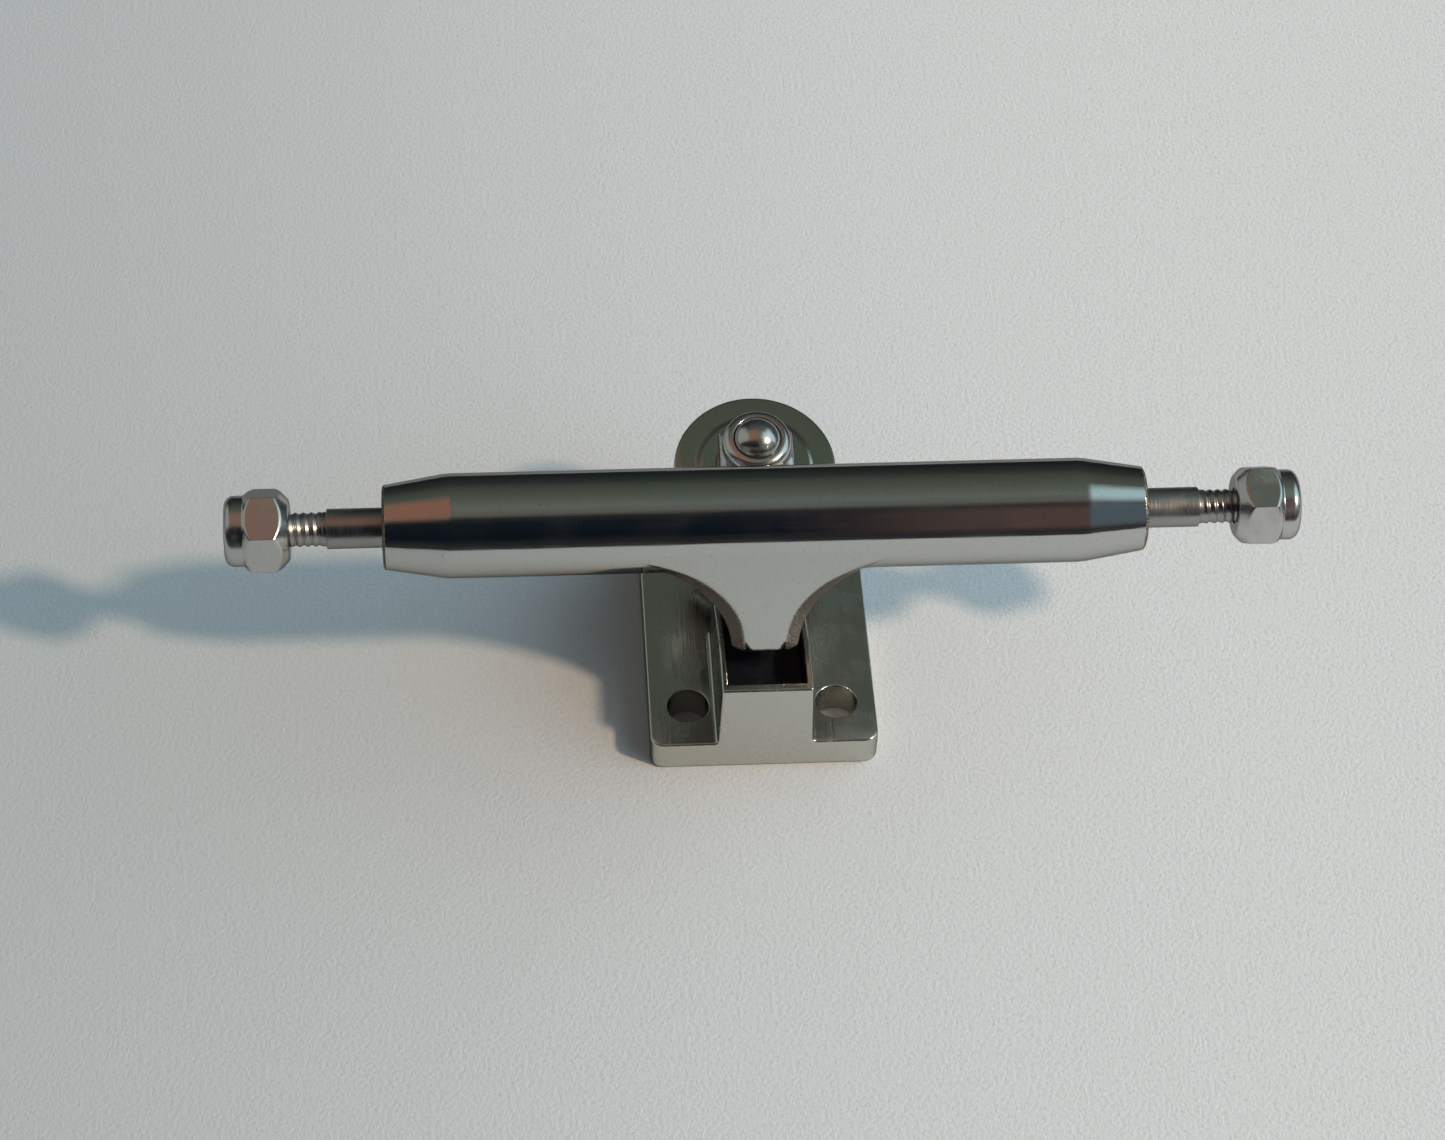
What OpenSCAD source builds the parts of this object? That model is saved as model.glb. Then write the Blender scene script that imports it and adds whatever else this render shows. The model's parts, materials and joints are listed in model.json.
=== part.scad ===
// Miniature single-kingpin truck: a baseplate, a hanger that rocks on soft bushings, and a threaded axle.
// The origin is the middle of the plate's underside. The pivot end faces -Y and the axle runs along X.

/* [Baseplate] */
// Length of the plate, pivot end to kingpin end
plate_length = 10.8; // [10:0.1:13]
// Width of the plate
plate_width = 7.4; // [6.8:0.1:10]
// Thickness of the plate's flanges
plate_thickness = 1.15; // [0.8:0.05:1.6]
// Radius of the plate's upright corners
corner_radius = 0.45; // [0.1:0.05:1]
// Screw holes, centre to centre across the plate
hole_spacing_x = 4.84; // [4.6:0.02:5.6]
// Screw holes, centre to centre along the plate
hole_spacing_y = 7.5; // [7:0.05:8.5]
// Diameter of a screw hole
hole_d = 1.34; // [1:0.02:1.6]

/* [Pivot housing] */
// Width of the housing where it leaves the plate
housing_width = 3.12; // [2.8:0.02:3.4]
// How much narrower the housing is at its top, from the mould's draft
housing_draft = 0.2; // [0:0.02:0.4]
// Height of the housing's front above the underside
housing_height = 3.8; // [3.4:0.05:4.2]
// Height of the housing's back wall above the underside
housing_back_height = 2.9; // [2.6:0.05:3.1]
// Thickness of the housing's side walls at the top
housing_side_wall = 0.2; // [0.15:0.01:0.3]
// Thickness of the housing's front and back walls
housing_end_wall = 0.3; // [0.2:0.02:0.5]
// Metal left under the pocket
pocket_floor = 1.3; // [0.8:0.05:1.6]
// Length of the housing's level top, before it slopes down to the back
housing_level = 2.05; // [1.4:0.05:2.6]
// Top of the soft cup above the underside
cup_top = 2.85; // [2.6:0.05:3]
// Width of the low rib between the housing and the kingpin boss
rib_width = 2.3; // [1.6:0.05:2.8]
// Height of that rib above the underside
rib_height = 1.7; // [1.2:0.05:1.8]

/* [Steering] */
// Lean of the kingpin towards the pivot, in degrees
kingpin_lean = 12; // [6:0.5:16]
// Pivot ball centre behind the plate's front edge
pivot_from_front = 3.4; // [3.2:0.05:3.8]
// Pivot ball centre above the underside
pivot_height = 3.25; // [3.1:0.05:3.5]
// Pivot ball centre to kingpin centre, along the steering axis
pivot_to_kingpin = 4.79; // [4.6:0.02:5.2]
// Diameter of the pivot ball
ball_d = 1.84; // [1.6:0.02:2]

/* [Hanger] */
// Length of the beam, end face to end face
beam_length = 24.12; // [18:0.1:30]
// Diameter of the beam
beam_d = 3.32; // [3:0.02:3.8]
// Diameter of the beam's end faces
beam_end_d = 2.66; // [2.2:0.02:2.9]
// Length of the taper at each end of the beam
beam_taper = 2; // [1:0.1:4]
// Edge chamfer at each end of the beam
beam_end_chamfer = 0.12; // [0.05:0.01:0.2]
// Axle centre behind the plate's front edge
axle_from_front = 3.8; // [3.5:0.05:4]
// Axle centre above the underside
axle_height = 7.8; // [7.4:0.05:9]
// Radius of the hollow curve on each side of the web
web_curve = 2.5; // [2.2:0.1:2.8]
// How far the web's front cuts into the front of the beam
web_inset = 0.02; // [0.01:0.01:0.2]
// Angle at which the web's front leans out towards its nose
web_lean = 12; // [8:1:14]
// Height of the nose's lower edge above the pivot ball's centre
nose_height = 1.05; // [0.9:0.05:1.2]
// Height of the web's foot above the pivot ball's centre
foot_height = 0.7; // [0.5:0.05:0.9]
// Width of the arm between the web and the kingpin ring
arm_width = 2.2; // [1.8:0.05:2.6]
// Outside diameter of the kingpin ring
ring_d = 4.3; // [4:0.05:5]
// Thickness of the kingpin ring
ring_thickness = 1.3; // [1:0.05:1.5]
// Radial room between the kingpin and the ring's bore
ring_room = 0.3; // [0.25:0.01:0.4]
// Depth of the bushing seat in each face of the ring
seat_depth = 0.15; // [0.05:0.05:0.25]

/* [Axle] */
// Diameter of the plain wheel seats
axle_d = 1.27; // [1.15:0.01:1.3]
// Diameter of the axle's core, pressed in the beam
axle_core_d = 1.66; // [1.6:0.02:1.8]
// Length of each plain wheel seat outside the beam
wheel_seat_length = 1.75; // [1:0.05:4]
// Thread diameter on the axle ends
axle_thread_d = 1.09; // [0.9:0.01:1.1]
// Thread length on each axle end
axle_thread_length = 2.95; // [2.6:0.05:5]
// Thread pitch on the axle and the kingpin
thread_pitch = 0.25; // [0.2:0.05:0.3]

/* [Kingpin] */
// Diameter of the kingpin
kingpin_d = 1.5; // [1.3:0.02:1.6]
// Diameter of the kingpin's head
head_d = 2.5; // [2.2:0.05:2.8]
// Thickness of the kingpin's head
head_thickness = 0.75; // [0.5:0.05:0.9]
// Diameter of the boss that carries the kingpin
boss_d = 3.2; // [2.9:0.05:3.3]
// Height of the domed tip above the nut
tip_height = 0.46; // [0.2:0.02:0.6]

/* [Bushings and washers] */
// Diameter of the bushings where they seat
bushing_d = 3.4; // [3:0.05:3.6]
// How far the bushings bulge at mid height
bushing_bulge = 0.1; // [0:0.02:0.15]
// Thickness of the upper bushing
upper_bushing_h = 1.1; // [0.8:0.05:1.4]
// Thickness of the lower bushing
lower_bushing_h = 1.15; // [0.9:0.05:1.4]
// Thickness of the pressed washers
washer_thickness = 0.22; // [0.15:0.01:0.3]
// Diameter of the upper washer
upper_washer_d = 5.3; // [4.6:0.05:5.6]
// Diameter of the lower washer
lower_washer_d = 4.2; // [4:0.05:4.6]
// How far a washer's brim bends over its bushing
washer_cup = 0.2; // [0.1:0.02:0.3]

/* [Lock nuts] */
// Width of the nuts across flats
nut_flats = 2.4; // [2.2:0.02:2.6]
// Length of an axle nut
axle_nut_length = 2.03; // [1.8:0.01:2.4]
// Length of the kingpin nut
kingpin_nut_length = 1.75; // [1.6:0.01:2.2]
// Length of the round locking collar on a nut
nut_collar = 0.6; // [0.5:0.02:0.8]
// Length of the chamfer on a nut's washer face
nut_face_chamfer = 0.42; // [0.2:0.02:0.5]
// Length of the chamfer beside a nut's collar
nut_collar_chamfer = 0.24; // [0.1:0.02:0.4]
// Length of thread left bare between the wheel seat and an axle nut
nut_standoff = 1.16; // [0:0.01:2]
// Turn of the left nut's corner above the front, in degrees
left_nut_turn = 36; // [0:1:59]
// Turn of the right nut's corner above the front, in degrees
right_nut_turn = 45; // [0:1:59]
// Turn of the kingpin nut's corners away from the sides, in degrees
kingpin_nut_turn = 30; // [0:1:59]

/* [Clearances] */
// Radial gap of a pressed fit
press_gap = 0.01; // [0:0.005:0.02]
// Radial gap of a turning fit
turning_gap = 0.02; // [0.01:0.005:0.06]
// Radial gap between the pivot ball and its cup
ball_gap = 0.05; // [0.02:0.01:0.08]
// Radial gap between a bushing and what it slips over or into
bushing_gap = 0.06; // [0.03:0.01:0.1]
// Room left between the hanger and the washer and cup walls
swing_room = 0.36; // [0.3:0.02:0.45]
// Room left between the arm and the housing's back wall
arm_room = 0.65; // [0.5:0.05:0.8]

/* [Hidden] */
$fn = 64;
// Depth that a cut runs past the face it opens
over = 1;

// Places along the plate, from its front edge
front_y = -plate_length / 2;
pivot_y = front_y + pivot_from_front;
axle_y = front_y + axle_from_front;
ball_r = ball_d / 2;
beam_r = beam_d / 2;

// Centre of the kingpin ring, on the steering axis
lean_cos = cos(kingpin_lean);
lean_sin = sin(kingpin_lean);
ring_y = pivot_y + pivot_to_kingpin * lean_cos;
ring_z = pivot_height + pivot_to_kingpin * lean_sin;

// A point in the YZ plane, given along the steering axis and along the kingpin from the ring's centre
function from_ring(along, up) = [
  ring_y + along * lean_cos - up * lean_sin,
  ring_z + along * lean_sin + up * lean_cos
];

// The stack on the kingpin, measured from the ring's centre
bushing_r = bushing_d / 2;
bushing_bore_r = kingpin_d / 2 + bushing_gap;
seat_r = bushing_r + bushing_gap;
seat_face = ring_thickness / 2 - seat_depth;
upper_washer_seat = seat_face + upper_bushing_h;
nut_seat = upper_washer_seat + washer_thickness;
kingpin_nut_end = nut_seat + kingpin_nut_length;
lower_washer_seat = seat_face + lower_bushing_h;
boss_seat = lower_washer_seat + washer_thickness;
// The bore of the ring lets the hanger rock round the kingpin
ring_bore_r = kingpin_d / 2 + ring_room;
// A bushing is widest over the middle part of its height
bulge_start = 0.4;

// Head of the kingpin, whose lowest edge stays this far inside the plate though the pin leans
head_cover = 0.1;
head_rise = head_d / 2 * lean_sin + head_cover;
head_face = (ring_z - head_rise) / lean_cos;

// Pivot housing and its pocket
housing_top_width = housing_width - housing_draft;
pocket_width = housing_top_width - 2 * housing_side_wall;
pocket_front = front_y + housing_end_wall;
pocket_room = 0.15;
pocket_back = pivot_y + ball_r + pocket_room;
housing_back = pocket_back + housing_end_wall;
housing_shoulder = front_y + housing_level;

// Web and arm of the hanger
washer_front = from_ring(-upper_washer_d / 2, upper_washer_seat);
web_back = washer_front[0] - swing_room;
web_bottom = pivot_height + foot_height;
// The web's front starts on the front of the beam and ends at the nose's lower edge
web_touch = beam_r - web_inset;
web_start = [axle_y - web_touch * cos(web_lean), axle_height + web_touch * sin(web_lean)];
nose_z = pivot_height + nose_height;
nose_y = web_start[0] - (web_start[1] - nose_z) * tan(web_lean);
// The web's foot is slimmer than the ball, so that the round neck stands out from it
foot_step = 0.12;
web_foot = ball_r - foot_step;
// The hollow curves are upright this far above the nose's lower edge, and the nose narrows under them
curve_rise = 0.3;
nose_narrowing = 0.45;
nose_flare = 0.05;
web_curve_z = nose_z + curve_rise;
// They stop short of running level, inside the beam
web_trim = 0.4;
web_half_width = web_foot + web_curve - web_trim;
// Behind its front the web is wider by a shoulder at each side, whose hollow curves start lower
shoulder_depth = 0.7;
shoulder_width = 0.35;
shoulder_drop = 0.5;
shoulder_foot = web_foot + shoulder_width;
shoulder_z = web_curve_z - shoulder_drop;
// The shoulders end this far inside the web's back and foot
shoulder_step = 0.05;
// The neck runs up until the web is this much wider than its foot, and then as far again
neck_cover = 0.15;
neck_top = web_curve_z + sqrt(neck_cover * (2 * web_curve - neck_cover)) + neck_cover;
// The arm runs this far into the web and the ring, and is this much slimmer than the ring
arm_overlap = 0.2;
arm_step = 0.1;
arm_front = pivot_y + web_foot / 2;
arm_top = washer_front[1] - swing_room;
arm_under = housing_back_height + arm_room;
ring_r = ring_d / 2;
arm_reach = sqrt(ring_r ^ 2 - (arm_width / 2) ^ 2) - arm_overlap;
arm_end_half = ring_thickness / 2 - arm_step;

// Axle ends and nuts
axle_r = axle_d / 2;
axle_core_r = axle_core_d / 2;
thread_r = axle_thread_d / 2;
seat_end = beam_length / 2 + wheel_seat_length;
axle_end = seat_end + axle_thread_length;
axle_nut_face = seat_end + nut_standoff;
nut_corner_r = nut_flats / 2 / cos(30);
// A nut's washer face and its collar stand in from the flats by these lengths
nut_face_step = 0.25;
nut_collar_step = 0.08;
nut_face_r = nut_flats / 2 - nut_face_step;
nut_collar_r = nut_flats / 2 - nut_collar_step;
// Rounding of the collar's outer edge, and the lip rolled over the locking ring
nut_collar_round = 0.25;
nut_lip = 0.12;
// The chamfers run out past the hex's corners by this much
nut_past_corner = 0.05;
// The round outline is turned by this angle, so that its seam lies off the hex's corners
nut_seam_turn = 15;
// Depth of a metric thread's groove for each unit of pitch
depth_per_pitch = 0.61;
thread_depth = thread_pitch * depth_per_pitch;

// Moves its child to the ring's centre, with Z along the leaning kingpin
module on_kingpin() {
  translate([0, ring_y, ring_z])
    rotate([kingpin_lean, 0, 0])
      children();
}

// Moves its child to the axle's centre line, with Z pointing out to one side
module on_axle(side) {
  translate([0, axle_y, axle_height])
    rotate([0, side * 90, 0])
      children();
}

// A solid with a side outline in the YZ plane and an even width across X
module across(width) {
  translate([-width / 2, 0, 0])
    rotate([90, 0, 90])
      linear_extrude(width)
        children();
}

// A solid with a front outline in the XZ plane, between two places along Y
module along_plate(from_y, to_y) {
  translate([0, to_y, 0])
    rotate([90, 0, 0])
      linear_extrude(to_y - from_y)
        children();
}

// Crests and roots of a thread as half outlines, one ring per turn
function thread_points(crest_r, start, length) = [
  for (i = [0 : round(length / thread_pitch) - 1])
    each [
      [crest_r, start + i * thread_pitch],
      [crest_r - thread_depth, start + (i + 0.5) * thread_pitch]
    ]
];

// Flat plate with rounded upright corners
module plate_outline() {
  square([plate_width - 2 * corner_radius, plate_length], center = true);
  square([plate_width, plate_length - 2 * corner_radius], center = true);
  for (x = [-1, 1], y = [-1, 1])
    translate([x * (plate_width / 2 - corner_radius), y * (plate_length / 2 - corner_radius)])
      circle(corner_radius);
}

// Cast plate with the pivot housing, the kingpin boss and a low rib between them
module baseplate() {
  color("silver")
    difference() {
      union() {
        linear_extrude(plate_thickness)
          plate_outline();
        housing();
        rib();
        boss();
      }
      pocket();
      screw_holes();
      kingpin_hole();
    }
}

// Raised box at the pivot end, sloping down to the back
module housing() {
  intersection() {
    along_plate(front_y, housing_back)
      polygon([
        [-housing_width / 2, 0],
        [housing_width / 2, 0],
        [housing_top_width / 2, housing_height],
        [-housing_top_width / 2, housing_height]
      ]);
    across(housing_width)
      polygon([
        [front_y, 0],
        [housing_back, 0],
        [housing_back, housing_back_height],
        [housing_shoulder, housing_height],
        [front_y, housing_height]
      ]);
  }
}

// Low rib from the housing to the boss
module rib() {
  translate([-rib_width / 2, housing_back - housing_end_wall / 2, 0])
    cube([rib_width, ring_y - housing_back, rib_height]);
}

// Leaning round boss that the kingpin stands in
module boss() {
  intersection() {
    on_kingpin()
      translate([0, 0, -head_face - over])
        cylinder(d = boss_d, h = head_face + over - boss_seat);
    translate([-plate_width / 2, front_y, 0])
      cube([plate_width, plate_length, housing_height]);
  }
}

// Open pocket for the soft cup
module pocket() {
  translate([-pocket_width / 2, pocket_front, pocket_floor])
    cube([pocket_width, pocket_back - pocket_front, housing_height]);
}

// Four holes for the deck screws
module screw_holes() {
  for (x = [-1, 1], y = [-1, 1])
    translate([x * hole_spacing_x / 2, y * hole_spacing_y / 2, -over])
      cylinder(d = hole_d, h = plate_thickness + 2 * over);
}

// Hole for the kingpin, with a recess for its head under the plate
module kingpin_hole() {
  on_kingpin() {
    translate([0, 0, -head_face])
      cylinder(d = kingpin_d + 2 * press_gap, h = head_face);
    translate([0, 0, -head_face - 2 * over])
      cylinder(d = head_d + 2 * press_gap, h = head_thickness + 2 * over);
  }
}

// Soft insert that fills the housing's pocket and carries the pivot ball
module pivot_cup() {
  color("#1a1a1c")
    difference() {
      translate([-pocket_width / 2 + press_gap, pocket_front + press_gap, pocket_floor])
        cube([
          pocket_width - 2 * press_gap,
          pocket_back - pocket_front - 2 * press_gap,
          cup_top - pocket_floor
        ]);
      translate([0, pivot_y, pivot_height])
        sphere(r = ball_r + ball_gap);
    }
}

// Steel bolt pressed up through the boss, with a thread and a domed tip
module kingpin() {
  pin_r = kingpin_d / 2;
  color("#8c8c90")
    on_kingpin() {
      translate([0, 0, -head_face])
        cylinder(d = head_d, h = head_thickness);
      rotate_extrude()
        polygon([
          [0, -head_face],
          [pin_r, -head_face],
          each thread_points(pin_r, nut_seat, kingpin_nut_length),
          [pin_r, kingpin_nut_end],
          [0, kingpin_nut_end]
        ]);
      translate([0, 0, kingpin_nut_end])
        dome(pin_r, tip_height);
    }
}

// Cap of a ball with a given foot radius and height
module dome(foot_r, height) {
  cap_r = (foot_r * foot_r + height * height) / (2 * height);
  intersection() {
    translate([0, 0, height - cap_r])
      sphere(cap_r);
    cylinder(r = foot_r, h = height + over);
  }
}

// Half outline of a pressed washer whose brim bends down; the flat underside is at zero
module washer_outline(washer_d) {
  polygon([
    [bushing_bore_r, 0],
    [seat_r, 0],
    [washer_d / 2, -washer_cup],
    [washer_d / 2, washer_thickness - washer_cup],
    [seat_r + washer_thickness / 2, washer_thickness],
    [bushing_bore_r, washer_thickness]
  ]);
}

module lower_cup_washer() {
  color("silver")
    on_kingpin()
      translate([0, 0, -lower_washer_seat])
        mirror([0, 0, 1])
          rotate_extrude()
            washer_outline(lower_washer_d);
}

module upper_cup_washer() {
  color("silver")
    on_kingpin()
      translate([0, 0, upper_washer_seat])
        rotate_extrude()
          washer_outline(upper_washer_d);
}

// Soft ring that bulges a little between its two flat seats
module bushing(height) {
  mid_r = bushing_r + bushing_bulge;
  rotate_extrude()
    polygon([
      [bushing_bore_r, 0],
      [bushing_r, 0],
      [bushing_r, seat_depth],
      [mid_r, height * bulge_start],
      [mid_r, height * (1 - bulge_start)],
      [bushing_r, height - seat_depth],
      [bushing_r, height],
      [bushing_bore_r, height]
    ]);
}

module lower_bushing() {
  color("#2c2c30")
    on_kingpin()
      translate([0, 0, -lower_washer_seat])
        bushing(lower_bushing_h);
}

module upper_bushing() {
  color("#2c2c30")
    on_kingpin()
      translate([0, 0, seat_face])
        bushing(upper_bushing_h);
}

// Cast T: the beam, the web that narrows to the pivot ball, and the arm to the kingpin ring
module hanger() {
  color("gainsboro")
    difference() {
      union() {
        beam();
        web();
        shoulders();
        nose();
        arm();
        on_kingpin()
          cylinder(r = ring_r, h = ring_thickness, center = true);
      }
      ring_cuts();
      on_axle(1)
        cylinder(r = axle_core_r + press_gap, h = beam_length + 2 * over, center = true);
    }
}

// Round bar that tapers towards both ends
module beam() {
  half = beam_length / 2;
  end_r = beam_end_d / 2;
  on_axle(1)
    rotate_extrude()
      polygon([
        [0, -half],
        [end_r - beam_end_chamfer, -half],
        [end_r, -half + beam_end_chamfer],
        [beam_r, -half + beam_taper],
        [beam_r, half - beam_taper],
        [end_r, half - beam_end_chamfer],
        [end_r - beam_end_chamfer, half],
        [0, half]
      ]);
}

// Plate under the beam, hollowed at both sides, that leans out to a narrow nose in front of the round neck
module web() {
  nose_side = web_foot - nose_narrowing;
  flare_z = web_curve_z + curve_rise;
  beyond = web_half_width + over;
  intersection() {
    across(2 * web_half_width)
      polygon([
        [nose_y, nose_z],
        web_start,
        [web_back, axle_height],
        [web_back, arm_top - arm_overlap],
        [pivot_y + web_foot, web_bottom],
        [pivot_y - web_foot, web_bottom]
      ]);
    along_plate(nose_y - over, web_back)
      difference() {
        translate([-web_half_width, web_bottom])
          square([2 * web_half_width, axle_height + beam_r - web_bottom]);
        for (side = [-1, 1]) {
          translate([side * (web_foot + web_curve), web_curve_z])
            circle(web_curve);
          polygon([
            [side * nose_side, web_bottom - over],
            [side * nose_side, web_bottom],
            [side * (web_foot + nose_flare), flare_z],
            [side * beyond, flare_z],
            [side * beyond, web_bottom - over]
          ]);
        }
      }
  }
}

// Wider part of the web behind its front, with lower hollow curves
module shoulders() {
  bottom = web_bottom + shoulder_step;
  intersection() {
    across(2 * web_half_width)
      polygon([
        [nose_y + shoulder_depth, nose_z],
        [web_start[0] + shoulder_depth, axle_height],
        [web_back - shoulder_step, axle_height],
        [web_back - shoulder_step, arm_top - arm_overlap],
        [pivot_y + web_foot, bottom],
        [pivot_y - web_foot, bottom]
      ]);
    along_plate(nose_y, web_back)
      difference() {
        translate([-web_half_width, bottom - over])
          square([2 * web_half_width, axle_height + over]);
        for (side = [-1, 1]) {
          translate([side * (shoulder_foot + web_curve), shoulder_z])
            circle(web_curve);
          translate([side * (shoulder_foot + web_curve) - web_curve, shoulder_z - axle_height])
            square([2 * web_curve, axle_height]);
        }
      }
  }
}

// Round neck that ends in the pivot ball
module nose() {
  neck_height = neck_top - pivot_height;
  translate([0, pivot_y, pivot_height])
    rotate_extrude()
      intersection() {
        union() {
          circle(ball_r);
          square([ball_r, neck_height]);
        }
        translate([0, -ball_r])
          square([ball_r, ball_r + neck_height]);
      }
}

// Bridge from the web, over the housing's back wall, to the kingpin ring
module arm() {
  across(arm_width)
    polygon([
      [arm_front, arm_under],
      [arm_front, arm_top],
      [web_back - arm_overlap, arm_top],
      from_ring(-arm_reach, arm_end_half),
      from_ring(-arm_reach, -arm_end_half)
    ]);
}

// Bore of the ring and the bushing seats in its two faces
module ring_cuts() {
  on_kingpin() {
    cylinder(r = ring_bore_r, h = ring_thickness + 2 * over, center = true);
    for (face = [-1, 1])
      translate([0, 0, face * (seat_face + over / 2)])
        cylinder(r = seat_r, h = over, center = true);
  }
}

// Steel rod pressed through the beam, with a shoulder and a thread at each end
module axle() {
  root_r = thread_r - thread_depth;
  color("#77777b")
    for (side = [-1, 1])
      on_axle(side)
        rotate_extrude()
          polygon([
            [0, 0],
            [axle_core_r, 0],
            [axle_core_r, beam_length / 2],
            [axle_r, beam_length / 2],
            [axle_r, seat_end],
            [root_r, seat_end],
            each thread_points(thread_r, seat_end + thread_pitch / 2, axle_thread_length - thread_pitch),
            [root_r, axle_end],
            [0, axle_end]
          ]);
}

// Half outline of a nut: its washer face, the hex's two chamfers and a collar rounded over at the end
module nut_outline(length) {
  hex_length = length - nut_collar;
  past_r = nut_corner_r + nut_past_corner;
  face_share = (past_r - nut_face_r) / (nut_corner_r - nut_face_r);
  collar_share = (past_r - nut_collar_r) / (nut_corner_r - nut_collar_r);
  round_r = nut_collar_r - nut_collar_round;
  round_z = length - nut_collar_round;
  polygon([
    [0, 0],
    [nut_face_r, 0],
    [past_r, nut_face_chamfer * face_share],
    [past_r, hex_length - nut_collar_chamfer * collar_share],
    [nut_collar_r, hex_length],
    [nut_collar_r, round_z],
    [round_r, round_z],
    [round_r, length],
    [0, length]
  ]);
  translate([round_r, round_z])
    circle(nut_collar_round);
}

// Hex nut with a round collar at its far end and a locking ring's pocket inside; its washer face is at zero
module lock_nut(length, rod_r) {
  difference() {
    intersection() {
      translate([0, 0, -over])
        cylinder(r = nut_corner_r, h = length + 2 * over, $fn = 6);
      rotate([0, 0, nut_seam_turn])
        rotate_extrude()
          nut_outline(length);
    }
    translate([0, 0, -over])
      cylinder(r = rod_r + turning_gap, h = length + 2 * over);
    insert_pocket(length, rod_r, turning_gap);
  }
}

// Space taken by the locking ring under the collar's rolled lip
module insert_pocket(length, rod_r, gap) {
  translate([0, 0, length - nut_collar - gap])
    cylinder(r = insert_r(rod_r) + gap, h = nut_collar - nut_lip + 2 * gap);
}

function insert_r(rod_r) = (rod_r + nut_flats / 2) / 2;

// Nylon ring that grips the thread
module nut_insert(length, rod_r) {
  color("ivory")
    difference() {
      insert_pocket(length, rod_r, 0);
      translate([0, 0, -over])
        cylinder(r = rod_r + turning_gap, h = length + 2 * over);
    }
}

module kingpin_nut() {
  color("lightgrey")
    on_kingpin()
      translate([0, 0, nut_seat])
        rotate([0, 0, kingpin_nut_turn])
          lock_nut(kingpin_nut_length, kingpin_d / 2);
}

module kingpin_nut_insert() {
  on_kingpin()
    translate([0, 0, nut_seat])
      nut_insert(kingpin_nut_length, kingpin_d / 2);
}

// Puts its child on one axle end, with a corner of the hex turned up from the front
module on_axle_nut(side, turn) {
  on_axle(side)
    translate([0, 0, axle_nut_face])
      rotate([0, 0, -90 - side * turn])
        children();
}

module axle_nut(side, turn) {
  color("lightgrey")
    on_axle_nut(side, turn)
      lock_nut(axle_nut_length, thread_r);
}

module axle_nut_insert(side, turn) {
  on_axle_nut(side, turn)
    nut_insert(axle_nut_length, thread_r);
}

baseplate();
pivot_cup();
kingpin();
lower_cup_washer();
lower_bushing();
hanger();
axle();
upper_bushing();
upper_cup_washer();
kingpin_nut();
kingpin_nut_insert();
axle_nut(-1, left_nut_turn);  // axle_nut_left
axle_nut_insert(-1, left_nut_turn);  // axle_nut_left_insert
axle_nut(1, right_nut_turn);  // axle_nut_right
axle_nut_insert(1, right_nut_turn);  // axle_nut_right_insert
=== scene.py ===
import json
import math
import bpy
import numpy as np
from mathutils import Matrix, Vector


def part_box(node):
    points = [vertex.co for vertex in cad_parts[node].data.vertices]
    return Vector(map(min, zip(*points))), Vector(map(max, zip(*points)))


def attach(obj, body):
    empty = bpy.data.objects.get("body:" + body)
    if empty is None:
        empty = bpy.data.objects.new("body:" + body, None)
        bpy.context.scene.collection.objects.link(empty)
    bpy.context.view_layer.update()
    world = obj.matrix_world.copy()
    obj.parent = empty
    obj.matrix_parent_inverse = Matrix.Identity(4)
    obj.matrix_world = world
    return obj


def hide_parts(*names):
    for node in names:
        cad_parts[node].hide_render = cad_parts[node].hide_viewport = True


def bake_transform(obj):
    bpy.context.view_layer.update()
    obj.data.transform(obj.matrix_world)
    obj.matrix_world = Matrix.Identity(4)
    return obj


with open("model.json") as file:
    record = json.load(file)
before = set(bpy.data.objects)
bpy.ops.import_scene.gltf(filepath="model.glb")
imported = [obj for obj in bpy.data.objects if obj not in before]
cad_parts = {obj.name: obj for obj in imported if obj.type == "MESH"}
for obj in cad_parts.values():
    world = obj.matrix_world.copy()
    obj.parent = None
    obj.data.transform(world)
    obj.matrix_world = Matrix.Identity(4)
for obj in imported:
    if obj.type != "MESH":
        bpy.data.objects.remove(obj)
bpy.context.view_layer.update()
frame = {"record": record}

# Baseplate: a zinc casting, polished and plated bright, with fine streaks along its flanges.
# The box at its front holds the pivot cup and the leaning boss at its back holds the kingpin.
# Four screws pull its flat underside against a deck.
mm = 0.001
joints = {joint["name"]: joint for joint in frame["record"]["behaviour"]["joints"]}
pivot = Vector(joints["hanger_steer"]["pos_m"]) / mm
steer_axis = Vector(joints["hanger_steer"]["axis"])
ring_centre = Vector(joints["kingpin_nut_turn"]["pos_m"]) / mm
pin_axis = Vector(joints["kingpin_nut_turn"]["axis"])


def join(first, second, fillet):
    """Two solids as one, with a hollow fillet where they meet."""
    a = np.maximum(fillet - first, 0)
    b = np.maximum(fillet - second, 0)
    return np.maximum(fillet, np.minimum(first, second)) - np.hypot(a, b)


def meet(first, second, edge):
    """What two solids share, with a rounded edge."""
    a = np.maximum(edge + first, 0)
    b = np.maximum(edge + second, 0)
    return np.minimum(-edge, np.maximum(first, second)) + np.hypot(a, b)


def between(place, low, high):
    """A slab between two places along an axis."""
    return np.abs(place - (low + high) / 2) - (high - low) / 2


def below(y, z, start, end):
    """The half space under a line that runs from start to end in the YZ plane, with end further back."""
    run, rise = end[0] - start[0], end[1] - start[1]
    return ((z - start[1]) * run - (y - start[0]) * rise) / math.hypot(run, rise)


def round_pin(x, y, z):
    """Distance from the kingpin's axis, and height along it above the ring's centre."""
    height = (y - ring_centre.y) * pin_axis.y + (z - ring_centre.z) * pin_axis.z
    along = (y - ring_centre.y) * steer_axis.y + (z - ring_centre.z) * steer_axis.z
    return np.hypot(x, along), height


def slope_of(solid, points, step):
    """The direction in which the distance to a solid grows, at each point."""
    sides = [solid(*(points + step * axis).T) - solid(*(points - step * axis).T) for axis in np.eye(3)]
    return np.stack(sides, 1) / (2 * step)


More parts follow.
